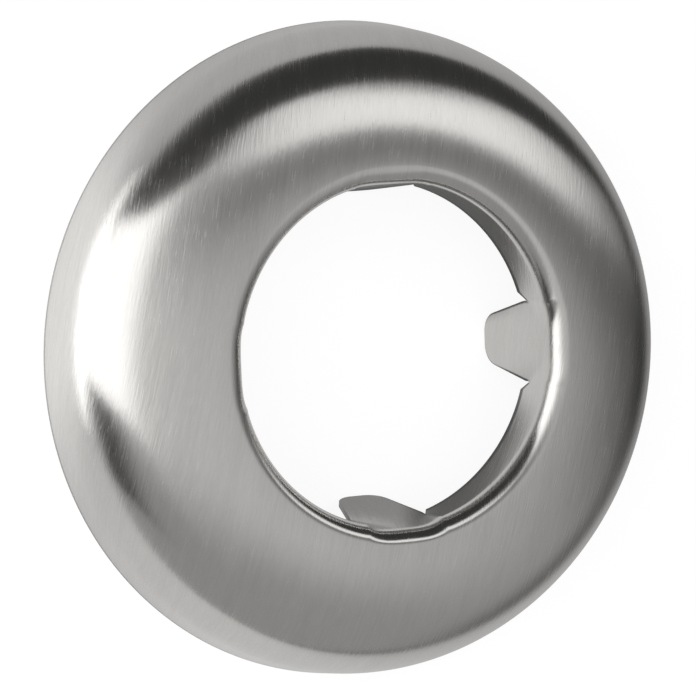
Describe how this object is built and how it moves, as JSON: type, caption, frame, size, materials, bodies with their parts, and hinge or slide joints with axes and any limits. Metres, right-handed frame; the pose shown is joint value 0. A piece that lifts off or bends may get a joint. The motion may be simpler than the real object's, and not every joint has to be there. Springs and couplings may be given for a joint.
{
  "type": "pipe rosette",
  "caption": "Round domed cover plate of brushed sheet steel for a pipe at a wall, with a rolled collar and spring tongues that grip the pipe.",
  "frame": {"origin": "centre of the rim's edge, in the plane of the wall that the rosette lies against", "axes": "+Z along the pipe, away from the wall; +X to the right and +Y up as the face is seen from the front; two tongues lie on X and two on Y, and the grain runs about along Y"},
  "size_m": [0.07, 0.07, 0.013],
  "materials": {
    "brushed_steel": "linear brushed, satin"
  },
  "bodies": {
    "root": {"rosette": "brushed_steel"}
  },
  "joints": []
}
